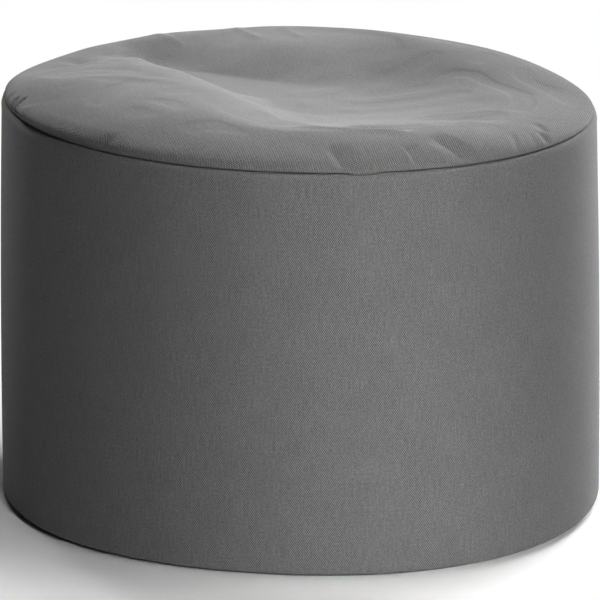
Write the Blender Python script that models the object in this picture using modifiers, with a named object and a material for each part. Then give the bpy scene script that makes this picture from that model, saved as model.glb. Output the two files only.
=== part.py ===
"""Round bean bag footstool, rebuilt as its three sewn panels.

The stool is a cloth drum filled with loose beads.  A side panel runs round it, a
top panel is sewn into its upper edge and a base panel closes it underneath.  Each
panel carries the fill behind it, so each one is a filled solid and the three lie a
seam's width apart.  The beads have settled: the top has a hollow with a high bank
on its left, the rim stands proud all round, and the base has slumped to the right.

Metres, +Z up.  The origin is on the floor, under the middle of the stool.  The
front of the stool faces -Y, and azimuths are counted from +X towards +Y.
"""

import math

import bpy
import numpy as np

COLLECTION = "bean_bag_footstool"

# ---- driving sizes
SEAM_RADIUS = 0.2385          # radius of the seam between the top and the side
SEAM_HEIGHT = 0.3205          # mean height of that seam
BASE_RADIUS = 0.2502          # side panel, just above the floor
SHOULDER_RADIUS = 0.2410      # side panel, just below the seam
BELLY = 0.0016                # how far the side panel bulges between the two
FOOT_DEPTH = 0.0085           # the side panel's bottom edge is drawn in this far
FOOT_HEIGHT = 0.0045          # and over this height
BASE_THICKNESS = 0.0025       # the base panel
BASE_INSET = 0.0015           # its rim lies inside the side panel's bottom edge
SEAM_GAP = 0.00034            # space between two panels, measured straight up
CLOTH_EDGE = 0.0012           # height of the top panel's own cut edge at the seam
BED_DEPTH = 0.046             # the top panel's underside dips this far at the middle
FULLNESS = 0.52               # under 1, the top panel starts more steeply at its seam

# ---- mesh stations
STEPS = 144                   # round the stool
TOP_RINGS = 24                # from the seam to the middle of the top
BED_RINGS = 6                 # on the surface between the top panel and the side panel
WALL_RINGS = 7                # up the plain part of the side panel

# ---- slow waves of the cloth: how many round the stool, how high, azimuth of a crest
SEAM_WAVES = (
    # count, height, crest azimuth
    (1, 0.0064, 161.0),
    (2, 0.0029, 0.0),
    (3, 0.0013, 34.0),
)
BASE_WAVES = (
    # count, height, crest azimuth
    (1, 0.0058, -47.5),
    (2, 0.0020, -72.5),
    (3, 0.0059, -39.5),
    (4, 0.0020, 39.0),
)

# ---- how the fill lies under the top panel: a place, and its rise over the seam
FILL_LEVELS = (
    # place,                             x,      y,    rise
    ("crest, at the back left rim",    -0.165,  0.135,  0.0130),
    ("crest, back left",               -0.133,  0.068,  0.0168),
    ("crest, left",                    -0.098,  0.004,  0.0219),
    ("crest, left of middle",          -0.063, -0.067,  0.0196),
    ("crest, front left",              -0.030, -0.140,  0.0159),
    ("crest, front",                    0.005, -0.190,  0.0187),
    ("crest, front right",              0.075, -0.200,  0.0202),
    ("crest, right front",              0.130, -0.165,  0.0177),
    ("foot of crest, back",            -0.130,  0.120,  0.0015),
    ("foot of crest, back left",       -0.085,  0.075, -0.0040),
    ("foot of crest, left",            -0.050,  0.030, -0.0018),
    ("foot of crest, middle",          -0.020, -0.045,  0.0021),
    ("foot of crest, front",            0.010, -0.120,  0.0077),
    ("foot of crest, front right",      0.070, -0.140,  0.0130),
    ("foot of crest, right",            0.120, -0.110,  0.0118),
    ("left rim, back",                 -0.195,  0.065,  0.0098),
    ("left rim",                       -0.205, -0.010,  0.0158),
    ("left rim, front",                -0.190, -0.080,  0.0255),
    ("left front rim",                 -0.145, -0.145,  0.0285),
    ("front rim, left",                -0.075, -0.195,  0.0220),
    ("front rim",                       0.000, -0.214,  0.0180),
    ("front rim, right",                0.080, -0.206,  0.0216),
    ("right front rim",                 0.150, -0.158,  0.0165),
    ("right rim, front",                0.195, -0.075,  0.0099),
    ("right rim",                       0.208,  0.020,  0.0061),
    ("right rim, back",                 0.175,  0.110,  0.0256),
    ("back rim, right",                 0.100,  0.180,  0.0245),
    ("back rim",                        0.020,  0.205,  0.0201),
    ("back rim, left",                 -0.060,  0.195,  0.0188),
    ("back rim, far left",             -0.120,  0.165,  0.0166),
    ("left bank",                      -0.155, -0.010,  0.0260),
    ("left bank, front",               -0.135, -0.080,  0.0272),
    ("front bank, left",               -0.070, -0.150,  0.0232),
    ("right bank",                      0.155, -0.020,  0.0093),
    ("slope, right",                    0.110, -0.030,  0.0063),
    ("slope, right back",               0.125,  0.070,  0.0152),
    ("hollow, back left",              -0.055,  0.110,  0.0060),
    ("hollow, back",                   -0.010,  0.140,  0.0175),
    ("hollow, middle",                  0.010,  0.020, -0.0015),
    ("hollow, right",                   0.060,  0.060,  0.0034),
    ("hollow, front",                   0.040, -0.060,  0.0006),
    ("hollow, back right",              0.060,  0.130,  0.0153),
)

# ---- the rounded border of the top panel, from its seam to its full height
BORDER = (
    # azimuth, width, roundness
    (-90.0, 0.045, 1.1),
    (-50.0, 0.041, 1.4),
    (-10.0, 0.034, 1.1),
    (30.0, 0.086, 1.1),
    (90.0, 0.018, 1.1),
    (140.0, 0.054, 1.9),
    (160.0, 0.071, 1.1),
    (180.0, 0.025, 1.5),
    (225.0, 0.105, 1.9),
)

# ---- puckers that the seam gathers into the top panel: troughs and the folds beside them
PUCKERS = (
    # azimuth at the seam, turn on the way in, half width, height
    (-83.0, -3.5, 0.0060, -0.0026),
    (-76.5, -1.0, 0.0090, 0.0022),
    (-69.0, -1.5, 0.0060, -0.0016),
    (-65.5, -1.5, 0.0080, 0.0012),
    (-61.0, -3.0, 0.0080, -0.0016),
    (-56.5, -3.0, 0.0090, 0.0010),
    (-39.0, -1.0, 0.0070, -0.0016),
    (-128.0, 0.0, 0.0070, -0.0010),
    (-159.5, 3.0, 0.0060, -0.0020),
)
PUCKER_REACH = 0.030          # from the seam to where a pucker has died out


def waves(table, azimuth):
    """Sum of slow waves round the stool, from a table of count, height and crest."""
    return sum(
        height * np.cos(count * (azimuth - math.radians(crest)))
        for count, height, crest in table
    )


def eased(table, azimuth, column):
    """A column of an azimuth table, read between its rows with a smooth step."""
    rows = sorted((row[0] % 360.0, row[column]) for row in table)
    places = np.radians([row[0] for row in rows])
    values = np.array([row[1] for row in rows])
    full = 2.0 * math.pi
    places = np.concatenate([places - full, places, places + full])
    values = np.tile(values, 3)
    turn = np.mod(azimuth, full)
    before = np.clip(np.searchsorted(places, turn) - 1, 0, len(places) - 2)
    share = (turn - places[before]) / (places[before + 1] - places[before])
    share = share * share * (3.0 - 2.0 * share)
    return values[before] * (1.0 - share) + values[before + 1] * share


def plate_kernel(squared):
    """Thin plate term, r squared times the logarithm of r, from squared distances."""
    return 0.5 * squared * np.log(np.maximum(squared, 1e-12))


def fill_rise(x, y):
    """Height of the fill over the seam at x, y: a thin plate through FILL_LEVELS."""
    places = np.array([row[1:3] for row in FILL_LEVELS])
    rises = np.array([row[3] for row in FILL_LEVELS])
    count = len(places)
    apart = ((places[:, None] - places[None]) ** 2).sum(-1)
    system = np.zeros((count + 3, count + 3))
    system[:count, :count] = plate_kernel(apart)
    system[:count, count] = 1.0
    system[:count, count + 1:] = places
    system[count, :count] = 1.0
    system[count + 1:, :count] = places.T
    weights = np.linalg.solve(system, np.concatenate([rises, np.zeros(3)]))
    rise = weights[count] + weights[count + 1] * x + weights[count + 2] * y
    for place, weight in zip(places, weights):
        rise = rise + weight * plate_kernel((x - place[0]) ** 2 + (y - place[1]) ** 2)
    return rise


def pucker_rise(azimuth, inward):
    """Height of the puckers: each is a rounded line that leaves the seam and dies out."""
    along = inward / PUCKER_REACH
    fade = 2.3 * np.sqrt(along) * np.exp(-2.0 * along ** 2)
    rise = np.zeros_like(inward)
    for place, turn, width, height in PUCKERS:
        offset = azimuth - np.radians(place + turn * along)
        offset = np.arctan2(np.sin(offset), np.cos(offset)) * SEAM_RADIUS
        rise += height * np.exp(-(offset / width) ** 2) * fade
    return rise


def crown_rise(azimuth, radius):
    """Rise of the top panel over its seam: the fill, rounded off at the border."""
    inward = np.maximum(SEAM_RADIUS - radius, 0.0)
    share = np.clip(inward / eased(BORDER, azimuth, 1), 0.0, 1.0)
    border = (1.0 - (1.0 - share) ** eased(BORDER, azimuth, 2)) ** FULLNESS
    fill = fill_rise(radius * np.cos(azimuth), radius * np.sin(azimuth))
    return border * fill + pucker_rise(azimuth, inward)


def wall_radius(height):
    """Mean radius of the side panel at a height, with its drawn-in bottom edge."""
    share = height / SEAM_HEIGHT
    radius = BASE_RADIUS + (SHOULDER_RADIUS - BASE_RADIUS) * share
    radius += BELLY * 4.0 * share * (1.0 - share)
    low = max(1.0 - (height - BASE_THICKNESS) / FOOT_HEIGHT, 0.0)
    return radius - FOOT_DEPTH * (1.0 - math.sqrt(1.0 - low * low))


def bed_profile(level):
    """Points of the dished surface between top and side, from the middle outwards."""
    rings = [(ring / BED_RINGS) ** 0.8 for ring in range(BED_RINGS + 1)]
    return [(SEAM_RADIUS * ring, level - BED_DEPTH * (1.0 - ring ** 2)) for ring in rings]


def top_profile():
    """Profile of the top panel before it is shaped: flat above, dished below."""
    level = SEAM_HEIGHT + SEAM_GAP / 2.0 + CLOTH_EDGE
    rings = [1.0 - (1.0 - ring / TOP_RINGS) ** 1.45 for ring in range(TOP_RINGS + 1)]
    upper = [(SEAM_RADIUS * ring, level) for ring in rings]
    return upper + bed_profile(SEAM_HEIGHT + SEAM_GAP / 2.0)[::-1]


def side_profile():
    """Profile of the side panel: its bed, its roll at the seam, its wall and its foot."""
    top = SEAM_HEIGHT - SEAM_GAP / 2.0
    roll = [(SHOULDER_RADIUS + 0.0004, top - 0.0015), (SHOULDER_RADIUS + 0.0012, top - 0.0060)]
    plain = [
        0.975 * SEAM_HEIGHT * (1.0 - ring / WALL_RINGS) + 0.0160 * ring / WALL_RINGS
        for ring in range(WALL_RINGS + 1)
    ]
    foot = [BASE_THICKNESS + FOOT_HEIGHT * share for share in (1.0, 0.6, 0.3, 0.1)]
    wall = [(wall_radius(height), height) for height in plain + foot]
    under = BASE_THICKNESS + SEAM_GAP
    return bed_profile(top) + roll + wall + [(wall_radius(under), under), (0.0, under)]


def base_profile():
    """Profile of the base panel: a flat disc that lies on the floor."""
    radius = BASE_RADIUS - FOOT_DEPTH - BASE_INSET
    return [(0.0, BASE_THICKNESS), (radius, BASE_THICKNESS), (radius, 0.0), (0.0, 0.0)]


def seam_drift(azimuth, radius):
    """How far the seam's waves lift the cloth at a radius, fading towards the middle."""
    return waves(SEAM_WAVES, azimuth) * np.minimum(radius / SEAM_RADIUS, 1.0) ** 3


def settle_wall(points, radius, azimuth):
    """Let the base slump by its waves and the seam wander by its own."""
    bed = (points[:, 2] > SEAM_HEIGHT / 2.0) & (radius < SEAM_RADIUS + SEAM_GAP)
    share = np.where(bed, 1.0, np.clip(points[:, 2] / SEAM_HEIGHT, 0.0, 1.0))
    slump = waves(BASE_WAVES, azimuth) * (1.0 - share) * radius / BASE_RADIUS
    points[:, 0] = (radius + slump) * np.cos(azimuth)
    points[:, 1] = (radius + slump) * np.sin(azimuth)
    points[:, 2] += seam_drift(azimuth, radius) * share


def settle_top(points, radius, azimuth):
    """Raise the upper face by its crown, and let the whole panel follow the seam."""
    upper = points[:, 2] > SEAM_HEIGHT + SEAM_GAP
    points[:, 2] += seam_drift(azimuth, radius)
    points[upper, 2] += crown_rise(azimuth[upper], radius[upper])


def turned(name, profile, settle, collection):
    """Turn a profile into a closed solid, then settle its points; returns the object."""
    outline = bpy.data.meshes.new(name + "_outline")
    outline.from_pydata(
        [(radius, 0.0, height) for radius, height in profile],
        [(i, i + 1) for i in range(len(profile) - 1)],
        [],
    )
    turning = bpy.data.objects.new(name + "_turning", outline)
    collection.objects.link(turning)
    screw = turning.modifiers.new("turn", "SCREW")
    screw.steps = STEPS
    screw.render_steps = STEPS
    screw.use_merge_vertices = True
    screw.merge_threshold = 0.0001
    screw.use_smooth_shade = True
    graph = bpy.context.evaluated_depsgraph_get()
    mesh = bpy.data.meshes.new_from_object(turning.evaluated_get(graph))
    bpy.data.objects.remove(turning)
    bpy.data.meshes.remove(outline)

    flat = np.empty(len(mesh.vertices) * 3, dtype=np.float32)
    mesh.vertices.foreach_get("co", flat)
    points = flat.reshape(-1, 3).astype(np.float64)
    radius = np.hypot(points[:, 0], points[:, 1])
    azimuth = np.arctan2(points[:, 1], points[:, 0])
    settle(points, radius, azimuth)
    mesh.vertices.foreach_set("co", points.astype(np.float32).ravel())
    mesh.update()
    mesh.shade_smooth()
    mesh.set_sharp_from_angle(angle=math.radians(50.0))
    mesh.name = name
    piece = bpy.data.objects.new(name, mesh)
    collection.objects.link(piece)
    return piece


def canvas(name, grey):
    """Matt plain-weave canvas of one shade of grey."""
    material = bpy.data.materials.new(name)
    material.use_nodes = True
    shader = material.node_tree.nodes["Principled BSDF"]
    shader.inputs["Base Color"].default_value = (grey, grey, grey, 1.0)
    shader.inputs["Roughness"].default_value = 0.92
    shader.inputs["Metallic"].default_value = 0.0
    return material


def main():
    """Clear the scene and build the three panels."""
    for old in list(bpy.data.objects):
        bpy.data.objects.remove(old)
    collection = bpy.data.collections.new(COLLECTION)
    bpy.context.scene.collection.children.link(collection)

    top = turned("top_panel", top_profile(), settle_top, collection)
    top.data.materials.append(canvas("top_canvas", 0.100))
    side = turned("side_panel", side_profile(), settle_wall, collection)
    side.data.materials.append(canvas("side_canvas", 0.095))
    base = turned("base_panel", base_profile(), settle_wall, collection)
    base.data.materials.append(canvas("base_canvas", 0.090))


main()
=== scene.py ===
"""Dark grey bean bag footstool: its sewn canvas cover, as the beads inside have settled it.

Three filled panels make the stool: a top panel with a seat hollow, a side panel that runs
round it, and a base panel.  The front of the stool faces -Y, lengths are in metres, and
azimuths are counted from +X towards +Y.
"""

import logging
import math
from dataclasses import dataclass, field
from enum import Enum
from typing import NamedTuple

import bpy
import numpy as np
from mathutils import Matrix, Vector

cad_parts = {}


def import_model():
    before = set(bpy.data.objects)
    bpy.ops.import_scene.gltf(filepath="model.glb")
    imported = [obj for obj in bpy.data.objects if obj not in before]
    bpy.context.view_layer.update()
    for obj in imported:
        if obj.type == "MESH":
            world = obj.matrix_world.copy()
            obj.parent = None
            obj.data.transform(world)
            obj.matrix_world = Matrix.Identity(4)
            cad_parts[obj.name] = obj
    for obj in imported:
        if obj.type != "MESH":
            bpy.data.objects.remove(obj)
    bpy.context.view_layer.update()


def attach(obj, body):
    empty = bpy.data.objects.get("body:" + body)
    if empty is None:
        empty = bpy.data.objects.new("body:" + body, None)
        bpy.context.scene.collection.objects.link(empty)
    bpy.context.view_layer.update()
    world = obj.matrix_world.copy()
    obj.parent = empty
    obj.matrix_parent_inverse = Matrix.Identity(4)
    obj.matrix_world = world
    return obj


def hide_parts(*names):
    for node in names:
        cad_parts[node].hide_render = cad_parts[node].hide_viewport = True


LOG = logging.getLogger("footstool")
FULL_TURN = 2.0 * math.pi
BACK = 90.0  # azimuth of the back, where the side panel closes, in degrees
DENSITY_STEPS = 3600  # steps round the rim at which the density of columns is summed
TINY = 1e-12  # keeps logarithms and quotients finite
Array = np.ndarray
Point = tuple[float, float, float]


# ------------------------------------------------------------------ small tables of the form


class Wave(NamedTuple):
    """A slow wave round the stool: how many crests, how high, and where one stands."""

    count: int
    height: float
    crest: float


class FillPoint(NamedTuple):
    """A place on the fill, and how far it rises over the seam."""

    place: str
    x: float
    y: float
    rise: float


class BorderPoint(NamedTuple):
    """The rounded border of the top panel at one azimuth."""

    azimuth: float
    width: float
    roundness: float


class Fold(NamedTuple):
    """A fold (height over 0) or a trough (under 0) in the top panel.

    It runs from x0, y0 to x1, y1, bows to its right by bow at its middle, and falls away
    over left and right, the widths of its two flanks as seen when walking along it.  Its edge
    is 2 for a soft roll and near 1 for a pinched crease, and fade is the share of its length
    over which each end dies away.
    """

    place: str
    x0: float
    y0: float
    x1: float
    y1: float
    bow: float
    left: float
    right: float
    height: float
    edge: float = 2.0
    fade: float = 0.3


class Tuck(NamedTuple):
    """A crease that the seam gathers: a sharp valley between two straight flanks.

    It runs inwards from x0, y0 to x1, y1, bows like a fold, and left and right are the widths
    of its flanks as seen when walking inwards.  Fade is the share of its length over which
    each end dies away.
    """

    place: str
    x0: float
    y0: float
    x1: float
    y1: float
    bow: float
    left: float
    right: float
    depth: float
    fade: float


class Lap(NamedTuple):
    """A place where the top panel laps over its seam: azimuth, half width, out and down."""

    azimuth: float
    half_width: float
    out: float
    down: float


class Bulge(NamedTuple):
    """A stretch where the top panel swells out over its seam: azimuth, half width, out."""

    azimuth: float
    half_width: float
    out: float


class Gathering(NamedTuple):
    """A stretch that gathers into fine folds: azimuth, half width and gain in columns."""

    azimuth: float
    half_width: float
    gain: float


SEAM_WAVES = (Wave(1, 0.0064, 161.0), Wave(2, 0.0029, 0.0), Wave(3, 0.0013, 34.0))
BASE_WAVES = (
    Wave(1, 0.0058, -47.5),
    Wave(2, 0.0020, -72.5),
    Wave(3, 0.0059, -39.5),
    Wave(4, 0.0020, 39.0),
)

FILL = (
    FillPoint("crest, at the back left rim", -0.165, 0.135, 0.0130),
    FillPoint("crest, back left", -0.133, 0.068, 0.0168),
    FillPoint("crest, left", -0.098, 0.004, 0.0219),
    FillPoint("crest, left of middle", -0.063, -0.067, 0.0196),
    FillPoint("crest, front left", -0.030, -0.140, 0.0159),
    FillPoint("crest, front", 0.005, -0.190, 0.0187),
    FillPoint("crest, front right", 0.075, -0.200, 0.0202),
    FillPoint("crest, right front", 0.130, -0.165, 0.0177),
    FillPoint("foot of crest, back", -0.130, 0.120, 0.0015),
    FillPoint("foot of crest, back left", -0.085, 0.075, -0.0040),
    FillPoint("foot of crest, left", -0.050, 0.030, -0.0018),
    FillPoint("foot of crest, middle", -0.020, -0.045, 0.0021),
    FillPoint("foot of crest, front", 0.010, -0.120, 0.0077),
    FillPoint("foot of crest, front right", 0.070, -0.140, 0.0130),
    FillPoint("foot of crest, right", 0.120, -0.110, 0.0118),
    FillPoint("left rim, back", -0.195, 0.065, 0.0098),
    FillPoint("left rim", -0.205, -0.010, 0.0158),
    FillPoint("left rim, front", -0.190, -0.080, 0.0255),
    FillPoint("left front rim", -0.145, -0.145, 0.0285),
    FillPoint("front rim, left", -0.075, -0.195, 0.0220),
    FillPoint("front rim", 0.000, -0.214, 0.0180),
    FillPoint("front rim, right", 0.080, -0.206, 0.0216),
    FillPoint("right front rim", 0.150, -0.158, 0.0165),
    FillPoint("right rim, front", 0.195, -0.075, 0.0099),
    FillPoint("right rim", 0.208, 0.020, 0.0061),
    FillPoint("right rim, back", 0.175, 0.110, 0.0256),
    FillPoint("back rim, right", 0.100, 0.180, 0.0245),
    FillPoint("back rim", 0.020, 0.205, 0.0201),
    FillPoint("back rim, left", -0.060, 0.195, 0.0188),
    FillPoint("back rim, far left", -0.120, 0.165, 0.0166),
    FillPoint("left bank", -0.155, -0.010, 0.0260),
    FillPoint("left bank, front", -0.135, -0.080, 0.0272),
    FillPoint("front bank, left", -0.070, -0.150, 0.0232),
    FillPoint("right bank", 0.155, -0.020, 0.0093),
    FillPoint("slope, right", 0.110, -0.030, 0.0063),
    FillPoint("slope, right back", 0.125, 0.070, 0.0152),
    FillPoint("hollow, back left", -0.055, 0.110, 0.0060),
    FillPoint("hollow, back", -0.010, 0.140, 0.0175),
    FillPoint("hollow, middle", 0.010, 0.020, -0.0015),
    FillPoint("hollow, right", 0.060, 0.060, 0.0034),
    FillPoint("hollow, front", 0.040, -0.060, 0.0006),
    FillPoint("hollow, back right", 0.060, 0.130, 0.0153),
)

BORDER = (
    BorderPoint(-90.0, 0.045, 1.1),
    BorderPoint(-50.0, 0.041, 1.4),
    BorderPoint(-10.0, 0.034, 1.1),
    BorderPoint(30.0, 0.086, 1.1),
    BorderPoint(90.0, 0.018, 1.1),
    BorderPoint(140.0, 0.054, 1.9),
    BorderPoint(160.0, 0.071, 1.1),
    BorderPoint(180.0, 0.025, 1.5),
    BorderPoint(225.0, 0.105, 1.9),
)

FOLDS = (
    # troughs and bulges that the seam gathers, from the seam inwards
    Fold("right dent", 0.192, -0.13, 0.1845, -0.113, 0.0, 0.006, 0.003, -0.0014, 1.7, 0.35),
    Fold("left tuck", -0.149, -0.206, -0.1395, -0.18, 0.0005, 0.004, 0.0045, -0.0034, 1.5, 0.25),
    Fold("left end bulge", -0.225, -0.118, -0.206, -0.095, 0.0, 0.005, 0.006, 0.0012, 1.8, 0.25),
    Fold("left lip", -0.2099, -0.0891, -0.1035, -0.2032, 0.0138, 0.022, 0.0065, 0.0024, 1.8, 0.35),
    # creases along the crest
    Fold("front edge", -0.01, -0.178, 0.09, -0.1875, 0.0015, 0.0032, 0.0055, 0.0019, 1.6, 0.25),
    Fold("left line", -0.042, -0.06, 0.025, -0.183, 0.01, 0.005, 0.015, 0.0015, 1.7, 0.35),
    Fold("front groove", 0.03, -0.17, 0.092, -0.18, 0.0, 0.0045, 0.0034, -0.0013, 1.6, 0.3),
    Fold("upper edge", 0.025, -0.158, 0.112, -0.164, 0.0, 0.0038, 0.0085, 0.0014, 1.6, 0.3),
    Fold("middle crease", 0.08, -0.168, 0.15, -0.131, 0.001, 0.0036, 0.008, 0.0016, 1.5, 0.3),
    Fold("middle groove", 0.082, -0.133, 0.168, -0.119, 0.0, 0.007, 0.0065, -0.0006, 1.8, 0.3),
    Fold("right crease", 0.088, -0.108, 0.178, -0.08, 0.001, 0.0036, 0.011, 0.0018, 1.5, 0.25),
    # long soft folds over the left bank
    Fold("back left", -0.164, 0.144, -0.112, 0.002, 0.0, 0.006, 0.007, 0.0009, 1.7, 0.25),
    Fold("groove by crest", -0.203, 0.108, -0.13, -0.002, 0.0, 0.008, 0.006, -0.0015, 1.8, 0.22),
    Fold("upper bank fold", -0.208, 0.093, -0.124, -0.018, 0.0, 0.005, 0.008, 0.001, 1.7, 0.2),
    Fold("upper bank groove", -0.19, 0.002, -0.118, -0.04, 0.0, 0.008, 0.008, -0.0008, 2.0, 0.3),
    Fold("lower bank fold", -0.19, -0.048, -0.085, -0.064, 0.0, 0.009, 0.008, 0.0009, 2.0, 0.3),
    # short folds at the back rim
    Fold("back left fold", -0.133, 0.188, -0.095, 0.15, 0.0, 0.004, 0.006, 0.0011, 1.7, 0.35),
    Fold("back fold", -0.06, 0.216, -0.03, 0.16, 0.0, 0.0045, 0.006, 0.0014, 1.7, 0.35),
    Fold("back middle fold", -0.017, 0.222, 0.004, 0.162, 0.0, 0.0045, 0.006, 0.0013, 1.7, 0.3),
)

TUCKS = (
    Tuck("first", 0.0398, -0.249, 0.0225, -0.213, 0.0003, 0.0078, 0.014, 0.0062, 0.32),
    Tuck("second", 0.099, -0.239, 0.0785, -0.2095, -0.0005, 0.0028, 0.0115, 0.0028, 0.1),
    Tuck("third", 0.144, -0.217, 0.095, -0.1905, 0.0015, 0.0115, 0.015, 0.0035, 0.25),
    Tuck("right", 0.202, -0.158, 0.1835, -0.129, 0.0, 0.005, 0.007, 0.0024, 0.22),
    Tuck("small right", 0.17, -0.186, 0.162, -0.148, -0.001, 0.005, 0.005, 0.0008, 0.3),
    Tuck("right of it", 0.186, -0.169, 0.176, -0.138, 0.0, 0.0045, 0.0045, 0.0006, 0.3),
    Tuck("left end", -0.225, -0.0925, -0.214, -0.0745, 0.0004, 0.003, 0.003, 0.005, 0.2),
    Tuck("second left end", -0.229, -0.083, -0.219, -0.066, 0.0, 0.0028, 0.0028, 0.003, 0.25),
    Tuck("third left end", -0.238, -0.068, -0.223, -0.05, 0.0, 0.004, 0.004, 0.0012, 0.25),
)

LAPS = (Lap(-78.6, 2.6, 0.0016, 0.0012),)

BULGES = (
    Bulge(-138.0, 24.0, 0.0066),
    Bulge(-168.0, 12.0, 0.0012),
    Bulge(-84.5, 5.0, 0.0008),
    Bulge(-72.0, 5.0, 0.0008),
    Bulge(-50.0, 8.0, 0.0006),
)

GATHERINGS = (
    Gathering(-66.0, 28.0, 2.4),
    Gathering(-158.0, 9.0, 2.2),
    Gathering(-130.0, 8.0, 0.8),
    Gathering(165.0, 35.0, 0.6),
)


def turned_from(azimuth: Array, centre: float) -> Array:
    """Angle from a centre in degrees to azimuths in radians: within half a turn, in radians."""
    offset = azimuth - math.radians(centre)
    return np.arctan2(np.sin(offset), np.cos(offset))


def half_widths(azimuth: Array, place: Lap | Bulge | Gathering) -> Array:
    """Angle from a place on the rim to azimuths in radians, counted in its half widths."""
    return np.degrees(turned_from(azimuth, place.azimuth)) / place.half_width


def smooth_step(share: Array) -> Array:
    """Smooth step from 0 to 1 over a share from 0 to 1: 3 s squared - 2 s cubed."""
    return share * share * (3.0 - 2.0 * share)


def gathered_columns(count: int) -> Array:
    """Azimuths of the columns of the top panel, once round from the back.

    The columns stand closest together where the cloth is gathered: their density is 1 plus
    gain times a bell for each gathering, and equal shares of its sum part the columns.

    Args:
        count: Number of columns.

    Returns:
        Rising azimuths in radians.
    """
    turn = np.radians(np.linspace(BACK, BACK + 360.0, DENSITY_STEPS + 1))
    density = np.ones_like(turn)
    for place in GATHERINGS:
        density += place.gain * np.exp(-(half_widths(turn, place) ** 2))
    total = np.concatenate([[0.0], np.cumsum((density[1:] + density[:-1]) / 2.0)])
    return np.interp(np.arange(count) * total[-1] / count, total, turn)


def wave_sum(table: tuple[Wave, ...], azimuth: Array) -> Array:
    """Sum of slow waves: height times the cosine of count times the angle from the crest.

    Args:
        table: The waves to add.
        azimuth: Azimuths in radians.

    Returns:
        The sum at each azimuth, in metres.
    """
    total = np.zeros_like(azimuth)
    for wave in table:
        total += wave.height * np.cos(wave.count * (azimuth - math.radians(wave.crest)))
    return total


def eased(places: Array, values: Array, azimuth: Array) -> Array:
    """Read a ring of values between its places with a smooth step.

    Args:
        places: Azimuths of the values in degrees, in any order.
        values: The values there.
        azimuth: Azimuths to read, in radians.

    Returns:
        The eased value at each azimuth.
    """
    order = np.argsort(np.mod(places, 360.0))
    ring = np.radians(np.mod(places, 360.0)[order])
    ring = np.concatenate([ring - FULL_TURN, ring, ring + FULL_TURN])
    level = np.tile(values[order], 3)
    turn = np.mod(azimuth, FULL_TURN)
    before = np.clip(np.searchsorted(ring, turn) - 1, 0, len(ring) - 2)
    share = smooth_step((turn - ring[before]) / (ring[before + 1] - ring[before]))
    return level[before] * (1.0 - share) + level[before + 1] * share


def by_line(line: Fold | Tuck, x: Array, y: Array) -> tuple[Array, Array]:
    """Place a point by a fold or tuck, which bows as a parabola, most of all halfway.

    The line fades at both ends with a smooth step.

    Args:
        line: The fold or tuck.
        x: Places in metres.
        y: Their other coordinate.

    Returns:
        Distance from the line over the width of the flank there, and the line's fade.
    """
    run_x, run_y = line.x1 - line.x0, line.y1 - line.y0
    length = math.hypot(run_x, run_y)
    along = ((x - line.x0) * run_x + (y - line.y0) * run_y) / length ** 2
    across = ((x - line.x0) * run_y - (y - line.y0) * run_x) / length
    across = across - line.bow * 4.0 * along * (1.0 - along)
    ends = np.clip((0.5 - np.abs(along - 0.5)) / line.fade, 0.0, 1.0)
    flank = np.where(across > 0.0, line.right, line.left)
    return np.abs(across) / flank, smooth_step(ends)


def plate_kernel(squared: Array) -> Array:
    """Thin plate term: r squared times the logarithm of r, from squared distances."""
    return 0.5 * squared * np.log(np.maximum(squared, TINY))


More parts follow.
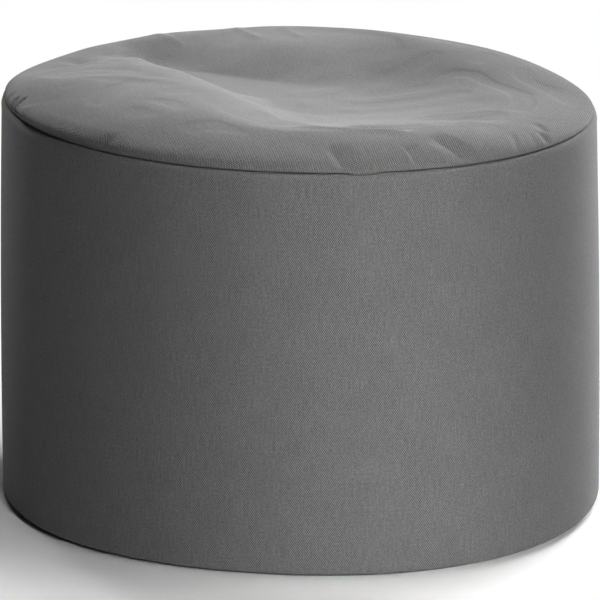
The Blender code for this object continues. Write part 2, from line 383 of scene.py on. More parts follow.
@dataclass
class StoolForm:
    """The settled form of the whole stool, shared by its panels: lengths in metres.

    The bed is the dished surface between the top panel and the side panel, and the crease is
    where both turn in at the seam.
    """

    seam_radius: float = 0.2385
    seam_height: float = 0.3205
    base_radius: float = 0.2502
    shoulder_radius: float = 0.2410
    belly: float = 0.0016
    foot_depth: float = 0.0085
    foot_height: float = 0.0045
    base_thickness: float = 0.0025
    base_inset: float = 0.0015
    bed_depth: float = 0.046
    bed_rings: int = 10
    bed_share: float = 0.96
    crease_depth: float = 0.0060
    fullness: float = 0.52
    seam_gap: float = 0.00034
    tuck_edge: float = 1.2
    fold_start: float = 0.0010
    deepest_trough: float = 0.9
    soft_border: float = 12.0
    soft_azimuth: float = 45.0
    lip_height: float = 0.0010
    lip_swing: float = 0.0003
    lip_azimuth: float = -125.0
    lap_reach: float = 0.004
    swell_peak: float = 0.0040

    def __post_init__(self) -> None:
        """Solve the thin plate through the fill points once."""
        places = np.array([(point.x, point.y) for point in FILL])
        count = len(places)
        apart = ((places[:, None] - places[None]) ** 2).sum(-1)
        system = np.zeros((count + 3, count + 3))
        system[:count, :count] = plate_kernel(apart)
        system[:count, count] = 1.0
        system[:count, count + 1:] = places
        system[count, :count] = 1.0
        system[count + 1:, :count] = places.T
        rises = np.array([point.rise for point in FILL] + [0.0] * 3)
        self.plate_places = places
        self.plate_weights = np.linalg.solve(system, rises)

    def seam_lift(self, azimuth: Array) -> Array:
        """How far the seam wanders up or down from its mean height."""
        return wave_sum(SEAM_WAVES, azimuth)

    def seam_drift(self, azimuth: Array, radius: Array) -> Array:
        """The seam's waves carried inwards, fading with the cube of the radius."""
        return self.seam_lift(azimuth) * np.minimum(radius / self.seam_radius, 1.0) ** 3

    def fill_rise(self, x: Array, y: Array) -> Array:
        """Height of the fill over the seam: a plane plus one thin plate term per fill point.

        Args:
            x: Places in metres.
            y: Their other coordinate.

        Returns:
            The height at each place, in metres.
        """
        count = len(self.plate_places)
        weights = self.plate_weights
        rise = weights[count] + weights[count + 1] * x + weights[count + 2] * y
        for place, weight in zip(self.plate_places, weights):
            rise = rise + weight * plate_kernel((x - place[0]) ** 2 + (y - place[1]) ** 2)
        return rise

    def fold_rise(self, x: Array, y: Array) -> Array:
        """Sum of the folds and tucks, each faded at both ends.

        Across a fold stands a bell, exp(-(distance / width) to the power of its edge).  Across
        a tuck hangs a tent, (1 - distance / width) to the power of the tuck edge.  The sum
        starts from nothing at the seam and takes no more than most of the crown.

        Args:
            x: Places in metres.
            y: Their other coordinate.

        Returns:
            The rise at each place, in metres.
        """
        rise = np.zeros_like(x)
        for fold in FOLDS:
            apart, fade = by_line(fold, x, y)
            rise += fold.height * np.exp(-(apart ** fold.edge)) * fade
        for tuck in TUCKS:
            apart, fade = by_line(tuck, x, y)
            rise -= tuck.depth * np.clip(1.0 - apart, 0.0, 1.0) ** self.tuck_edge * fade
        azimuth, radius = np.arctan2(y, x), np.hypot(x, y)
        inward = np.maximum(self.seam_radius - radius, 0.0)
        rise = rise * (1.0 - np.exp(-inward / self.fold_start))
        return np.maximum(rise, -self.deepest_trough * self.crown_rise(azimuth, radius))

    def crown_rise(self, azimuth: Array, radius: Array) -> Array:
        """Rise of the top panel over its seam: the fill, rounded off at the border.

        The rounding is (1 - (1 - share) to the power of the roundness) to the power of the
        fullness, for the share of the border's width.

        Args:
            azimuth: Azimuths in radians.
            radius: Distances from the middle.

        Returns:
            The rise at each place, in metres.
        """
        inward = np.maximum(self.seam_radius - radius, 0.0)
        places = np.array([point.azimuth for point in BORDER])
        width = eased(places, np.array([point.width for point in BORDER]), azimuth)
        power = eased(places, np.array([point.roundness for point in BORDER]), azimuth)
        share = self.border_share(azimuth, inward / width)
        border = (1.0 - (1.0 - share) ** power) ** self.fullness
        return border * self.fill_rise(radius * np.cos(azimuth), radius * np.sin(azimuth))

    def border_share(self, azimuth: Array, share: Array) -> Array:
        """Share of the border's width, kept to 1, so that the border ends in the fill.

        At the back right it ends softly, as share - log(1 + exp(k (share - 1))) / k, with k the
        soft border; at the front it ends in a crisp edge.  Between them the two blend with the
        fourth power of the cosine of half the angle from the soft azimuth.

        Args:
            azimuth: Azimuths in radians.
            share: Distance inwards over the border's width.

        Returns:
            The kept share.
        """
        crisp = np.clip(share, 0.0, 1.0)
        soft = share - np.logaddexp(0.0, self.soft_border * (share - 1.0)) / self.soft_border
        blend = np.cos((azimuth - math.radians(self.soft_azimuth)) / 2.0) ** 4
        return np.clip(crisp + (soft - crisp) * blend, 0.0, 1.0)

    def lip(self, azimuth: Array) -> Array:
        """Height of the top panel's lip over the seam: it gapes most at the front left."""
        turn = azimuth - math.radians(self.lip_azimuth)
        return self.lip_height + self.lip_swing * np.cos(turn)

    def lap(self, azimuth: Array, radius: Array) -> tuple[Array, Array]:
        """How far the top panel's lip is pushed out and down: a flat bell round each lap.

        The bell is exp(-(angle / half width) to the fourth), and it dies away inwards.

        Args:
            azimuth: Azimuths in radians.
            radius: Distances from the middle.

        Returns:
            Distances out and down, in metres.
        """
        near = np.exp(-np.maximum(self.seam_radius - radius, 0.0) / self.lap_reach)
        out = down = np.zeros_like(near)
        for lap in LAPS:
            share = np.exp(-(half_widths(azimuth, lap) ** 4)) * near
            out = out + lap.out * share
            down = down + lap.down * share
        return out, down

    def swell(self, azimuth: Array, radius: Array) -> Array:
        """How far the lip swells out: a bell round each bulge, greatest a little way inwards.

        Inwards it goes as depth times exp(1 - depth), for the depth over the swell peak.

        Args:
            azimuth: Azimuths in radians.
            radius: Distances from the middle.

        Returns:
            Distance out, in metres.
        """
        depth = np.maximum(self.seam_radius - radius, 0.0) / self.swell_peak
        out = np.zeros_like(depth)
        for bulge in BULGES:
            out += bulge.out * np.exp(-(half_widths(azimuth, bulge) ** 2))
        return out * depth * np.exp(1.0 - depth)

    def wall_radius(self, height: Array) -> Array:
        """Mean radius of the side panel: a straight taper, a slight belly and a rounded foot.

        Args:
            height: Heights in metres; the foot is a quarter ellipse under the foot height.

        Returns:
            The radius at each height, in metres.
        """
        share = height / self.seam_height
        radius = self.base_radius + (self.shoulder_radius - self.base_radius) * share
        radius = radius + self.belly * 4.0 * share * (1.0 - share)
        low = np.clip(1.0 - (height - self.base_thickness) / self.foot_height, 0.0, 1.0)
        return radius - self.foot_depth * (1.0 - np.sqrt(1.0 - low * low))

    def bed(self, azimuth: Array, radius: Array) -> Array:
        """Height of the dished surface on which the top panel lies, at mean seam height."""
        dip = self.bed_depth * (1.0 - (radius / self.seam_radius) ** 2)
        return self.seam_height - dip + self.seam_drift(azimuth, radius)

    def bed_points(self, azimuth: Array, over: float) -> Array:
        """Rings of points over the bed, from the middle out to the crease.

        Args:
            azimuth: Azimuth of each column.
            over: Height over the bed.

        Returns:
            Points, as rings by columns by 3.
        """
        widest = self.seam_radius - self.crease_depth
        shares = np.linspace(0.0, self.bed_share, self.bed_rings)
        angle, radius = np.meshgrid(azimuth, widest * shares)
        return cylinder_points(angle, radius, self.bed(angle, radius) + over)

    def slump(self, azimuth: Array, height: Array) -> Array:
        """How far the side panel bulges from its mean radius, all of it at the floor."""
        share = np.clip(height / self.seam_height, 0.0, 1.0)
        return wave_sum(BASE_WAVES, azimuth) * (1.0 - share)


def shown(name: str, data: bpy.types.ID) -> bpy.types.Object:
    """Put a mesh, lamp or camera in the scene.

    Args:
        name: Name of the object.
        data: What it shows.

    Returns:
        The object, at the origin.
    """
    item = bpy.data.objects.new(name, data)
    bpy.context.scene.collection.objects.link(item)
    return item


# ------------------------------------------------------------------ cloth as meshes


def ring_piece(name: str, rows: Array, plane: Array, finish: "Canvas") -> bpy.types.Object:
    """Make a closed skin from rings of points that start and end at a pole.

    Row 0 and the last row are one point each.  Every other row is a ring that closes on
    itself.  Rows run from the middle of the upper face outwards and back underneath, which
    points the faces out.

    Args:
        name: Name of the piece.
        rows: Points, as rings by columns by 3.
        plane: Cloth coordinates in metres, as rings by columns + 1 by 2.
        finish: What it is made of.

    Returns:
        The object, at the origin, with its cloth coordinates in the UV map "cloth".
    """
    rings, columns = rows.shape[:2]
    points = np.concatenate([rows[:1, 0], rows[1:-1].reshape(-1, 3), rows[-1:, 0]])
    number = 1 + (np.arange(rings)[:, None] - 1) * columns + np.arange(columns)
    number[0], number[-1] = 0, len(points) - 1

    # every corner as its ring and column: four to a face between rings, three at the poles
    ring, column = np.mgrid[1 : rings - 2, 0:columns][..., None]
    fans = np.repeat([[0, 1, 1], [rings - 2, rings - 1, rings - 2]], columns, axis=0)
    fan_columns = np.tile(np.arange(columns), 2)[:, None] + [0, 0, 1]
    ring = np.concatenate([(ring + [0, 1, 1, 0]).ravel(), fans.ravel()])
    column = np.concatenate([(column + [0, 0, 1, 1]).ravel(), fan_columns.ravel()])
    sizes = np.repeat([4, 3], [(rings - 3) * columns, 2 * columns])
    starts = np.cumsum(sizes) - sizes

    mesh = bpy.data.meshes.new(name)
    mesh.vertices.add(len(points))
    mesh.vertices.foreach_set("co", points.astype(np.float32).ravel())
    mesh.loops.add(len(ring))
    mesh.loops.foreach_set("vertex_index", number[ring, column % columns].astype(np.int32))
    mesh.polygons.add(len(sizes))
    mesh.polygons.foreach_set("loop_start", starts.astype(np.int32))
    mesh.update(calc_edges=True)
    layer = mesh.uv_layers.new(name="cloth")
    layer.uv.foreach_set("vector", plane[ring, column].astype(np.float32).ravel())
    mesh.validate()
    mesh.shade_smooth()
    mesh.materials.append(finish.material())
    return shown(name, mesh)


def cylinder_points(azimuth: Array, radius: Array, height: Array | float) -> Array:
    """Points from azimuth, radius and height, stacked on the last axis."""
    x, y, z = np.broadcast_arrays(radius * np.cos(azimuth), radius * np.sin(azimuth), height)
    return np.stack([x, y, z], -1)


def ring_normals(rows: Array) -> Array:
    """Unit normals of rings of points: the cross product of the steps outwards and along.

    Args:
        rows: Points, as rings by columns by 3, from the middle outwards.

    Returns:
        Normals in the same layout, pointing up or out; straight up at the middle.
    """
    outwards = np.gradient(rows, axis=0)
    along = np.roll(rows, -1, axis=1) - np.roll(rows, 1, axis=1)
    normals = np.cross(outwards, along)
    length = np.linalg.norm(normals, axis=-1, keepdims=True)
    normals = normals / np.maximum(length, TINY)
    normals[0] = (0.0, 0.0, 1.0)
    return normals


def spline_shares(share: Array) -> tuple[Array, Array, Array, Array]:
    """Weights of four neighbours in a uniform cubic B-spline.

    Args:
        share: Place past the second neighbour, from 0 to 1.

    Returns:
        The weight of each neighbour: the four cubics of the spline, which add up to 1.
    """
    square, cube = share ** 2, share ** 3
    return (
        (1.0 - share) ** 3 / 6.0,
        (3.0 * cube - 6.0 * square + 4.0) / 6.0,
        (3.0 * share + 3.0 * square - 3.0 * cube + 1.0) / 6.0,
        cube / 6.0,
    )


@dataclass(frozen=True)
class Settling:
    """A short cloth simulation of the top panel, whose small moves its fine mesh takes over.

    The cloth is a square net bent to a disc, so that it has no pole to gather at.
    """

    form: StoolForm
    cells: int = 84
    hold: float = 0.2
    slack: float = 0.004
    pressure: float = 0.5
    stiffness: float = 15.0
    shear_stiffness: float = 5.0
    bending: float = 10.0
    frames: int = 20
    cap: float = 0.0003
    border: float = 0.030
    held_border: float = 0.004
    hold_reach: float = 0.012
    quality: int = 6
    mass: float = 0.3
    damping: float = 25.0
    air: float = 5.0

    def start(self) -> Array:
        """Place the net: x times sqrt(1 - y squared / 2), and y likewise, on the crown.

        Returns:
            Points, as rows by columns by 3.
        """
        side = np.linspace(-1.0, 1.0, self.cells + 1)
        across, along = np.meshgrid(side, side)
        x = self.form.seam_radius * across * np.sqrt(1.0 - along ** 2 / 2.0)
        y = self.form.seam_radius * along * np.sqrt(1.0 - across ** 2 / 2.0)
        azimuth, radius = np.arctan2(y, x), np.hypot(x, y)
        height = self.form.seam_drift(azimuth, radius) + self.form.crown_rise(azimuth, radius)
        return np.stack([x, y, self.form.seam_height + height], -1)

    def dress(self, net: bpy.types.Object, inward: Array) -> None:
        """Make the net a cloth that is held at its border and pressed from inside.

        Past the held border the hold falls off as exp(-(distance / hold reach) squared).

        Args:
            net: The net.
            inward: Distance of each of its points from the seam.
        """
        weights = self.hold + (1.0 - self.hold) * np.exp(-((inward / self.hold_reach) ** 2))
        held = net.vertex_groups.new(name="held")
        for vertex, weight in enumerate(np.where(inward < self.held_border, 1.0, weights)):
            held.add([vertex], float(weight), "REPLACE")

        cloth = net.modifiers.new("settle", "CLOTH")
        settings = cloth.settings
        settings.quality = self.quality
        settings.mass = self.mass
        settings.tension_stiffness = self.stiffness
        settings.compression_stiffness = self.stiffness
        settings.shear_stiffness = self.shear_stiffness
        settings.bending_stiffness = self.bending
        settings.tension_damping = self.damping
        settings.compression_damping = self.damping
        settings.shear_damping = self.damping
        settings.air_damping = self.air
        settings.vertex_group_mass = "held"
        settings.pin_stiffness = 1.0
        settings.use_pressure = True
        settings.uniform_pressure_force = self.pressure
        settings.shrink_min = -self.slack
        settings.effector_weights.gravity = 0.0
        cloth.collision_settings.use_collision = False
        cloth.point_cache.frame_start = 1
        cloth.point_cache.frame_end = self.frames

    def run(self) -> Array:
        """Simulate the net for its frames.

        Returns:
            Rise of every point of the net, in metres, as rows by columns.
        """
        points = self.start()
        count = self.cells + 1
        index = np.arange(count * count).reshape(count, count)
        quads = np.stack([index[:-1, :-1], index[:-1, 1:], index[1:, 1:], index[1:, :-1]], -1)
        mesh = bpy.data.meshes.new("settling_net")
        mesh.from_pydata(points.reshape(-1, 3).tolist(), [], quads.reshape(-1, 4).tolist())
        net = shown("settling_net", mesh)
        scene = bpy.context.scene
        self.dress(net, self.form.seam_radius - np.hypot(points[..., 0], points[..., 1]).ravel())

        for frame in range(1, self.frames + 1):
            scene.frame_set(frame)
        settled = net.evaluated_get(bpy.context.evaluated_depsgraph_get()).data
        places = np.empty(count * count * 3, np.float32)
        settled.vertices.foreach_get("co", places)
        rise = places.reshape(count, count, 3)[..., 2] - points[..., 2]
        bpy.data.objects.remove(net)
        bpy.data.meshes.remove(mesh)
        scene.frame_set(1)
        return rise

    def on_square(self, u: Array, v: Array) -> Array:
        """Place in cells along one side of the square net, from a place on the unit disc.

        It is (sqrt(2 + u2 - v2 + k u) - sqrt(2 + u2 - v2 - k u)) / 2 from -1 to 1, with
        k = 2 sqrt(2), spread over the cells.

        Args:
            u: Coordinate along that side.
            v: The other coordinate.

        Returns:
            The place, from 0 to the number of cells.
        """
        gain = 2.0 * math.sqrt(2.0) * u
        lean = 2.0 + u * u - v * v
        across = np.sqrt(np.maximum(lean + gain, 0.0)) - np.sqrt(np.maximum(lean - gain, 0.0))
        return (across / 2.0 + 1.0) / 2.0 * self.cells

    def read(self, rise: Array, x: Array, y: Array) -> Array:
        """Read the net's rise at any place with cubic splines, capped and faded at the seam.

        The cap is a hyperbolic tangent, and the fade 1 - exp(-(distance / border) squared).

        Args:
            rise: The net's rise, from run.
            x: Places to read, in metres.
            y: Their other coordinate.

        Returns:
            The rise at each place.
        """
        u, v = x / self.form.seam_radius, y / self.form.seam_radius
        column, row = self.on_square(u, v), self.on_square(v, u)
        first_column = np.clip(np.floor(column), 0, self.cells - 1).astype(int)
        first_row = np.clip(np.floor(row), 0, self.cells - 1).astype(int)
        total = np.zeros_like(x)
        for down, row_share in enumerate(spline_shares(row - first_row)):
            for over, column_share in enumerate(spline_shares(column - first_column)):
                near_row = np.clip(first_row + down - 1, 0, self.cells)
                near_column = np.clip(first_column + over - 1, 0, self.cells)
                total += row_share * column_share * rise[near_row, near_column]
        inward = np.maximum(self.form.seam_radius - np.hypot(x, y), 0.0)
        fade = 1.0 - np.exp(-((inward / self.border) ** 2))
        return self.cap * np.tanh(total / self.cap) * fade


# ------------------------------------------------------------------ finishes


class Weave(Enum):
    """Which way the yarns of a panel run to its cloth coordinates, in degrees."""

    STRAIGHT = 0.0
    BIAS = -21.5


@dataclass(frozen=True)
class Canvas:
    """Matt plain-weave canvas.

    Scales of the dye cloud, the slubs along the yarns and the fuzz are to the metre, and each
    depth is how far its pattern swings the shade.
    """

    name: str
    shade: float
    weave: Weave = Weave.STRAIGHT
    warp_pitch: float = 0.00076
    weft_pitch: float = 0.00120
    contrast: float = 0.62
    relief: float = 0.00012
    relief_strength: float = 0.6
    roughness: float = 0.9
    gloss: float = 0.25
    nap: float = 0.12
    nap_roughness: float = 0.5
    cloud_scale: float = 28.0
    cloud_depth: float = 0.10
    slub_scale: float = 60.0
    slub_depth: float = 0.32
    fuzz_scale: float = 520.0
    fuzz_depth: float = 0.45

    def material(self) -> bpy.types.Material:
        """Build the canvas: crossing yarns, uneven dye, slubs and a light nap.

        The yarns cross as the sine across the warp times the sine along the weft.  Where they
        crown, at its largest absolute values, the cloth stands up.

        Returns:
            The material, which reads the piece's cloth coordinates.
        """
        material = bpy.data.materials.new(self.name)
        material.use_nodes = True
        nodes, link = material.node_tree.nodes, material.node_tree.links.new
        shader = nodes["Principled BSDF"]
        shader.inputs["Roughness"].default_value = self.roughness
        shader.inputs["Specular IOR Level"].default_value = self.gloss
        shader.inputs["Sheen Weight"].default_value = self.nap
        shader.inputs["Sheen Roughness"].default_value = self.nap_roughness

        def math_node(kind: str, *operands: float | bpy.types.NodeSocket) -> bpy.types.NodeSocket:
            """Add a math node.

            Args:
                kind: Its operation.
                operands: A number or a socket for each input.

            Returns:
                Its output.
            """
            node = nodes.new("ShaderNodeMath")
            node.operation = kind
            for socket, value in zip(node.inputs, operands):
                if isinstance(value, float):
                    socket.default_value = value
                else:
                    link(value, socket)
            return node.outputs[0]

        def noise(
            place: bpy.types.NodeSocket, scale: float, depth: float, detail: float = 2.0
        ) -> bpy.types.NodeSocket:
            """Add a noise pattern as a factor that is 1 on average.

            Args:
                place: Where it is read.
                scale: Its scale.
                depth: How far it swings to either side of 1.
                detail: Its detail.

            Returns:
                The factor.
            """
            pattern = nodes.new("ShaderNodeTexNoise")
            pattern.inputs["Scale"].default_value = scale
            pattern.inputs["Detail"].default_value = detail
            link(place, pattern.inputs["Vector"])
            return math_node("MULTIPLY_ADD", pattern.outputs["Fac"], 2.0 * depth, 1.0 - depth)

        cloth = nodes.new("ShaderNodeUVMap")
        cloth.uv_map = "cloth"
        turn = nodes.new("ShaderNodeMapping")
        turn.inputs["Rotation"].default_value[2] = math.radians(self.weave.value)
        link(cloth.outputs["UV"], turn.inputs["Vector"])
        turned = turn.outputs["Vector"]
        split = nodes.new("ShaderNodeSeparateXYZ")
        link(turned, split.inputs["Vector"])
        across = math_node("MULTIPLY", split.outputs["X"], math.pi / self.warp_pitch)
        along = math_node("MULTIPLY", split.outputs["Y"], math.pi / self.weft_pitch)
        crossing = math_node("MULTIPLY", math_node("SINE", across), math_node("SINE", along))

        streaks = nodes.new("ShaderNodeMapping")
        streaks.inputs["Scale"].default_value = (1.0 / self.warp_pitch, self.slub_scale, 1.0)
        link(turned, streaks.inputs["Vector"])
        shade = math_node("MULTIPLY_ADD", crossing, self.contrast, 1.0)
        for factor in (
            noise(turned, self.cloud_scale, self.cloud_depth, detail=4.0),
            noise(streaks.outputs["Vector"], 1.0, self.slub_depth),
            noise(turned, self.fuzz_scale, self.fuzz_depth),
            self.shade,
        ):
            shade = math_node("MULTIPLY", shade, factor)
        colour = nodes.new("ShaderNodeCombineColor")
        for channel in colour.inputs:
            link(shade, channel)
        link(colour.outputs["Color"], shader.inputs["Base Color"])

        bump = nodes.new("ShaderNodeBump")
        bump.inputs["Strength"].default_value = self.relief_strength
        bump.inputs["Distance"].default_value = self.relief
        link(math_node("ABSOLUTE", crossing), bump.inputs["Height"])
        link(bump.outputs["Normal"], shader.inputs["Normal"])
        return material


# ------------------------------------------------------------------ the panels


@dataclass
class TopPanel:
    """The round top panel, sewn into the side panel and settled over the fill.

    The edge is the cut edge that turns in to the crease: its rings stand at edge_out from the
    seam's circle and at edge_lift over it, and laps die away edge_fall times as fast along it.
    """

    form: StoolForm
    finish: Canvas
    columns: int = 740
    border_rings: int = 92
    inner_rings: int = 24
    border: float = 0.112
    crowding: float = 1.30
    edge_out: tuple[float, ...] = (0.0002, -0.0006, -0.0022, -0.0042, -0.0060)
    edge_lift: tuple[float, ...] = (0.0006, 0.0005, 0.0005, 0.0004, 0.0002)
    edge_fall: float = 2.0

    def radii(self) -> Array:
        """Ring radii from the middle to the seam, close together over the border.

        Over the border they stand at 1 - (1 - share) to the power of the crowding.

        Returns:
            Rising radii in metres.
        """
        inner = np.linspace(0.0, self.form.seam_radius - self.border, self.inner_rings + 1)
        share = np.linspace(0.0, 1.0, self.border_rings + 1)[1:]
        border = 1.0 - (1.0 - share) ** self.crowding
        return np.concatenate([inner, inner[-1] + self.border * border])

    def upper(self, azimuth: Array) -> Array:
        """The upper face: the crown over the seam, raised along its normals by the folds.

        Args:
            azimuth: Azimuth of each column.

        Returns:
            Points, as rings by columns by 3.
        """
        form = self.form
        angle, radius = np.meshgrid(azimuth, self.radii())
        height = form.seam_height + form.seam_drift(angle, radius)
        height = height + form.crown_rise(angle, radius) + form.lip(angle)
        out, down = form.lap(angle, radius)
        out = out + form.swell(angle, radius)
        upper = cylinder_points(angle, radius + out, height - down)
        x, y = radius * np.cos(angle), radius * np.sin(angle)
        raised = form.fold_rise(x, y)
        settling = Settling(form)
        moved = settling.read(settling.run(), x, y)
        LOG.info("settled cloth moves %.2f to %.2f mm", moved.min() * 1e3, moved.max() * 1e3)
        raised = raised + moved
        return upper + ring_normals(upper) * raised[..., None]

    def edge(self, azimuth: Array) -> Array:
        """The cut edge, turned in to the crease under the laps.

        Args:
            azimuth: Azimuth of each column.

        Returns:
            Points, as rings by columns by 3.
        """
        form = self.form
        out, lift = (np.array(share)[:, None] for share in (self.edge_out, self.edge_lift))
        lap_out, lap_down = form.lap(azimuth, form.seam_radius + out * self.edge_fall)
        height = form.seam_height + form.seam_lift(azimuth) + lift - lap_down
        return cylinder_points(azimuth, form.seam_radius + out + lap_out, height)

    def flat(self, rows: Array, azimuth: Array) -> Array:
        """Cloth coordinates: each ring laid out flat at its distance along the cloth.

        Args:
            rows: Points of the rings.
            azimuth: Azimuth of each column.

        Returns:
            Flat x and y in metres, with the first column repeated at the end.
        """
        steps = np.linalg.norm(np.diff(rows, axis=0), axis=-1)
        reach = np.concatenate([np.zeros((1, rows.shape[1])), np.cumsum(steps, axis=0)])
        plane = np.stack([reach * np.cos(azimuth), reach * np.sin(azimuth)], -1)
        return np.concatenate([plane, plane[:, :1]], axis=1)

    def build(self) -> bpy.types.Object:
        """Build and dress the panel: upper face, turned edge, and underside on the bed.

        Returns:
            The finished piece.
        """
        azimuth = gathered_columns(self.columns)
        under = self.form.bed_points(azimuth, self.form.seam_gap / 2.0)[::-1]
        rows = np.concatenate([self.upper(azimuth), self.edge(azimuth), under])
        return ring_piece("top_canvas_panel", rows, self.flat(rows, azimuth), self.finish)


@dataclass
class SidePanel:
    """The side panel: one strip of canvas, closed into a ring at the back.

    The roll is its upper edge, turned in to the crease: its rings stand at roll_out from the
    seam's circle and at roll_drop under it.  Foot rings stand at shares of the foot's height,
    and the closing seam has extra columns at join_columns to either side of it.
    """

    form: StoolForm
    finish: Canvas
    columns: int = 560
    wall_rings: int = 70
    roll_out: tuple[float, ...] = (-0.0060, -0.0042, -0.0022, -0.0004, 0.0010, 0.0021, 0.0030)
    roll_drop: tuple[float, ...] = (0.0002, 0.0004, 0.0005, 0.0007, 0.0014, 0.0030, 0.0060)
    wall_drop: float = 0.010
    foot_shares: tuple[float, ...] = (0.75, 0.5, 0.3, 0.15, 0.05)
    under_rings: int = 5
    under_share: float = 0.97
    join_columns: tuple[float, ...] = (0.0005, 0.0010, 0.0016, 0.0036, 0.0048)
    groove_depth: float = 0.0013
    groove_width: float = 0.0011
    pucker_share: float = 0.25
    pucker_pitch: float = 0.014
    swell_height: float = 0.0005
    swell_place: float = 0.0042
    swell_width: float = 0.0022
    join_top: float = 0.008
    join_fade: float = 0.010

    def columns_round(self) -> Array:
        """Azimuths of the columns, from the closing seam round, with extra ones beside it.

        Returns:
            Rising azimuths in radians.
        """
        even = np.linspace(0.0, FULL_TURN, self.columns + 1)[:-1]
        beside = np.array(self.join_columns) / self.form.base_radius
        return np.radians(BACK) + np.sort(np.concatenate([even, beside, FULL_TURN - beside]))

    def roll(self, azimuth: Array) -> Array:
        """The upper edge, from the crease out and down to the wall.

        Args:
            azimuth: Azimuth of each column.

        Returns:
            Points, as rings by columns by 3.
        """
        form = self.form
        out, drop = (np.array(share)[:, None] for share in (self.roll_out, self.roll_drop))
        seam = form.seam_height + form.seam_lift(azimuth)
        return cylinder_points(azimuth, form.seam_radius + out, seam - drop)

    def wall(self, azimuth: Array) -> tuple[Array, Array]:
        """The wall and the rounded foot: the seam's waves fade towards the floor.

        Args:
            azimuth: Azimuth of each column.

        Returns:
            Points, as rings by columns by 3, and the radius of the last ring.
        """
        form = self.form
        top = form.seam_height - self.wall_drop
        low = form.base_thickness + form.foot_height
        plain = top + (low - top) * np.linspace(0.0, 1.0, self.wall_rings + 1)
        foot = form.base_thickness + form.foot_height * np.array(self.foot_shares)
        angle, height = np.meshgrid(azimuth, np.concatenate([plain, foot]))
        radius = form.wall_radius(height) + form.slump(angle, height) - self.join(angle, height)
        lift = form.seam_lift(angle) * height / form.seam_height
        return cylinder_points(angle, radius, height + lift), radius[-1]

    def underside(self, azimuth: Array, rim: Array) -> Array:
        """The part turned in under the stool from the foot's rim, flat over the base panel."""
        radius = np.linspace(self.under_share, 0.0, self.under_rings)[:, None] * rim
        return cylinder_points(azimuth, radius, self.form.base_thickness + self.form.seam_gap)

    def join(self, azimuth: Array, height: Array) -> Array:
        """How far the closing seam at the back draws in: a groove with low swells beside it.

        Groove and swells are bells over the distance from the seam, and the groove's depth
        goes up and down as 1 plus a sine of the height, one turn to each pucker.

        Args:
            azimuth: Azimuths in radians.
            height: Heights in metres.

        Returns:
            Distance inwards, in metres.
        """
        offset = turned_from(azimuth, BACK) * self.form.base_radius
        pucker = 1.0 + self.pucker_share * np.sin(FULL_TURN * height / self.pucker_pitch)
        groove = self.groove_depth * pucker * np.exp(-((offset / self.groove_width) ** 2))
        beside = (np.abs(offset) - self.swell_place) / self.swell_width
        swells = self.swell_height * np.exp(-(beside ** 2))
        under = (self.form.seam_height - self.join_top - height) / self.join_fade
        return (groove - swells) * np.clip(under, 0.0, 1.0)

    def flat(self, rows: Array, azimuth: Array) -> Array:
        """Cloth coordinates: round the panel from its closing seam, and down along the cloth.

        Args:
            rows: Points of the rings.
            azimuth: Azimuth of each column.

        Returns:
            Flat x and y in metres, with the first column repeated at the end.
        """
        steps = np.linalg.norm(np.diff(rows, axis=0), axis=-1).mean(axis=1)
        down = np.concatenate([[0.0], np.cumsum(steps)])
        turn = np.append(azimuth - azimuth[0], FULL_TURN) * self.form.base_radius
        across, fall = np.meshgrid(turn, -down)
        return np.stack([across, fall], -1)

    def build(self) -> bpy.types.Object:
        """Build and dress the panel: bed, roll, wall, foot and underside.

        Returns:
            The finished piece.
        """
        azimuth = self.columns_round()
        bed = self.form.bed_points(azimuth, -self.form.seam_gap / 2.0)
        wall, rim = self.wall(azimuth)
        rows = np.concatenate([bed, self.roll(azimuth), wall, self.underside(azimuth, rim)])
        return ring_piece("side_canvas_panel", rows, self.flat(rows, azimuth), self.finish)


@dataclass
class BasePanel:
    """The round base panel, flat on the floor."""

    form: StoolForm
    finish: Canvas
    columns: int = 280
    rings: int = 5
    last_ring: float = 0.97
    rounding: float = 0.0005
    rounding_height: float = 0.0004

    def build(self) -> bpy.types.Object:
        """Build and dress the panel: a flat disc with a slightly rounded rim.

        Returns:
            The finished piece.
        """
        form, thick = self.form, self.form.base_thickness
        azimuth = np.radians(BACK) + np.linspace(0.0, FULL_TURN, self.columns + 1)[:-1]
        rim = form.base_radius - form.foot_depth - form.base_inset
        rim = rim + form.slump(azimuth, np.zeros_like(azimuth)) * rim / form.base_radius
        inset = np.array([self.rounding, 0.0, 0.0, self.rounding])[:, None]
        level = np.array([thick, thick - self.rounding_height, self.rounding_height, 0.0])
        disc = np.linspace(0.0, self.last_ring, self.rings)[:, None] * rim
        upper = cylinder_points(azimuth, disc, thick)
        edge = cylinder_points(azimuth, rim - inset, level[:, None])
        lower = cylinder_points(azimuth, disc[::-1], 0.0)
        rows = np.concatenate([upper, edge, lower])
        plane = np.concatenate([rows[..., :2], rows[:, :1, :2]], axis=1)
        return ring_piece("base_canvas_panel", rows, plane, self.finish)


# ------------------------------------------------------------------ studio


def aimed(
    item: bpy.types.Object, aim: Point, azimuth: float, elevation: float, distance: float
) -> None:
    """Place a lamp or the camera round its aim, and turn it to face the aim.

    Args:
        item: The lamp or camera.
        aim: What it faces.
        azimuth: Where it stands as seen from the aim, in degrees.
        elevation: How high it stands as seen from the aim, in degrees.
        distance: Its distance from the aim.
    """
    turn, rise = math.radians(azimuth), math.radians(elevation)
    level = math.cos(rise)
    arm = Vector((math.cos(turn) * level, math.sin(turn) * level, math.sin(rise)))
    item.location = Vector(aim) + arm * distance
    item.rotation_mode = "QUATERNION"
    item.rotation_quaternion = (-arm).to_track_quat("-Z", "Y")


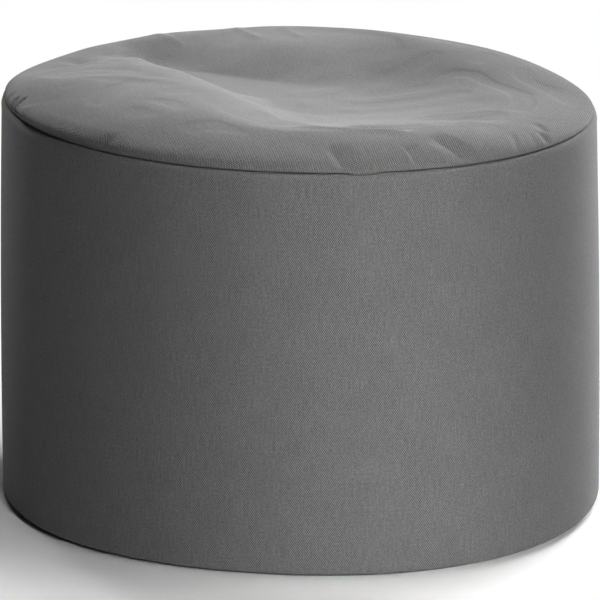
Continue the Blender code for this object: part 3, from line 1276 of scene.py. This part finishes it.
@dataclass(frozen=True)
class SoftBox:
    """A rectangular studio lamp, placed by azimuth and elevation as seen from its aim."""

    name: str
    azimuth: float
    elevation: float
    width: float
    height: float
    power: float
    spread: float = 180.0
    aim: Point = (0.0, 0.0, 0.2)
    distance: float = 3.0

    def build(self) -> bpy.types.Object:
        """Hang the lamp and turn it to its aim.

        Returns:
            The lamp's object.
        """
        lamp = bpy.data.lights.new(self.name, "AREA")
        lamp.shape = "RECTANGLE"
        lamp.size = self.width
        lamp.size_y = self.height
        lamp.energy = self.power
        lamp.spread = math.radians(self.spread)
        holder = shown(self.name, lamp)
        aimed(holder, self.aim, self.azimuth, self.elevation, self.distance)
        return holder


@dataclass
class Studio:
    """A pale floor, soft lamps and the camera."""

    lamps: tuple[SoftBox, ...] = (
        SoftBox("low_back_box", 58.0, 14.0, 1.2, 0.8, 70.0, aim=(0.0, 0.0, 0.3)),
        SoftBox("back_right_box", 60.0, 32.0, 0.9, 1.0, 47.0, aim=(0.0, 0.0, 0.3)),
        SoftBox("right_box", 40.0, 32.0, 0.9, 1.0, 43.0, aim=(0.0, 0.0, 0.3)),
        SoftBox("crest_box", 118.0, 38.0, 0.35, 0.35, 0.27, spread=9.0, aim=(-0.14, -0.10, 0.34)),
        SoftBox("top_box", 0.0, 88.0, 1.5, 1.5, 26.0),
        SoftBox("front_strip", -69.5, 28.0, 0.3, 1.6, 1.08, spread=20.0),
        SoftBox("narrow_strip", -74.0, 24.0, 0.2, 1.2, 1.02, spread=9.0, aim=(0.03, -0.1, 0.2)),
    )
    floor_size: float = 40.0
    floor_shade: float = 0.86
    floor_roughness: float = 0.9
    floor_fade: tuple[float, float] = (0.25, 0.45)
    aim: Point = (0.0, 0.0, 0.15)
    distance: float = 2.5
    azimuth: float = -90.0
    elevation: float = 15.92
    lens: float = 180.85
    sensor: float = 36.0
    shift: tuple[float, float] = (0.0010, 0.0032)
    clip_end: float = 60.0

    def build(self) -> None:
        """Lay the floor, light it and set up the camera."""
        self.floor()
        for lamp in self.lamps:
            lamp.build()
        self.backdrop()
        bpy.context.scene.view_settings.view_transform = "Standard"
        self.camera()

    def backdrop(self) -> None:
        """A white backdrop that the camera sees and that lights nothing."""
        world = bpy.data.worlds.new("studio")
        world.use_nodes = True
        tree = world.node_tree
        shade = tree.nodes["Background"]
        shade.inputs["Color"].default_value = (1.0, 1.0, 1.0, 1.0)
        ray = tree.nodes.new("ShaderNodeLightPath")
        tree.links.new(ray.outputs["Is Camera Ray"], shade.inputs["Strength"])
        bpy.context.scene.world = world

    def floor(self) -> None:
        """A wide matt floor, almost white, that fades into the backdrop away from the stool."""
        half = self.floor_size / 2.0
        corners = [(x * half, y * half, 0.0) for x, y in ((-1, -1), (1, -1), (1, 1), (-1, 1))]
        mesh = bpy.data.meshes.new("studio_floor")
        mesh.from_pydata(corners, [], [(0, 1, 2, 3)])
        paint = bpy.data.materials.new("floor_paint")
        paint.use_nodes = True
        shader = paint.node_tree.nodes["Principled BSDF"]
        shader.inputs["Base Color"].default_value = (*[self.floor_shade] * 3, 1.0)
        shader.inputs["Roughness"].default_value = self.floor_roughness
        self.fade(paint.node_tree, shader)
        mesh.materials.append(paint)
        floor = shown("studio_floor", mesh)

    def fade(self, tree: bpy.types.NodeTree, shader: bpy.types.Node) -> None:
        """Let the camera see through the floor paint, more and more with the distance out.

        The share rises with a smooth step between the two distances of the floor's fade.

        Args:
            tree: The node tree of the floor paint.
            shader: Its surface shader.
        """
        nodes, link = tree.nodes, tree.links.new
        place = nodes.new("ShaderNodeTexCoord")
        out = nodes.new("ShaderNodeVectorMath")
        out.operation = "LENGTH"
        share = nodes.new("ShaderNodeMapRange")
        share.interpolation_type = "SMOOTHSTEP"
        for name, distance in zip(("From Min", "From Max"), self.floor_fade):
            share.inputs[name].default_value = distance
        ray = nodes.new("ShaderNodeLightPath")
        seen = nodes.new("ShaderNodeMath")
        seen.operation = "MULTIPLY"
        clear = nodes.new("ShaderNodeBsdfTransparent")
        blend = nodes.new("ShaderNodeMixShader")
        link(place.outputs["Object"], out.inputs[0])
        link(out.outputs["Value"], share.inputs["Value"])
        link(share.outputs["Result"], seen.inputs[0])
        link(ray.outputs["Is Camera Ray"], seen.inputs[1])
        link(seen.outputs["Value"], blend.inputs[0])
        link(shader.outputs[0], blend.inputs[1])
        link(clear.outputs[0], blend.inputs[2])
        link(blend.outputs[0], nodes["Material Output"].inputs["Surface"])

    def camera(self) -> None:
        """A long lens in front of the stool, looking a little down."""
        data = bpy.data.cameras.new("studio_camera")
        data.sensor_width = self.sensor
        data.lens = self.lens
        data.shift_x, data.shift_y = self.shift
        data.clip_end = self.clip_end
        camera = shown("studio_camera", data)
        aimed(camera, self.aim, self.azimuth, self.elevation, self.distance)
        bpy.context.scene.camera = camera


# ------------------------------------------------------------------ assembly


@dataclass
class Footstool:
    """The whole stool: three panels on one form."""

    form: StoolForm = field(default_factory=StoolForm)

    def build(self) -> None:
        """Build every panel, ride it on the stool and stand it for its solid."""
        top = Canvas("top_canvas", shade=0.105, weave=Weave.BIAS, contrast=1.1)
        side = Canvas("side_canvas", shade=0.105, contrast=0.66)
        base = Canvas("base_canvas", shade=0.095)
        panels = (
            (TopPanel(self.form, top), "top_panel", "top_canvas", 0.7),
            (SidePanel(self.form, side), "side_panel", "side_canvas", 0.85),
            (BasePanel(self.form, base), "base_panel", "base_canvas", 0.85),
        )
        for panel, node, slot, fill in panels:
            piece = panel.build()
            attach(piece, "root")
            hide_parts(node)
            LOG.info("%s: %d faces, for %s", piece.name, len(piece.data.polygons), node)


def main() -> None:
    """Load the solids, build the stool and the studio."""
    logging.basicConfig(level=logging.INFO, format="%(name)s: %(message)s")
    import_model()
    Footstool().build()
    Studio().build()


if __name__ == "__main__":
    main()
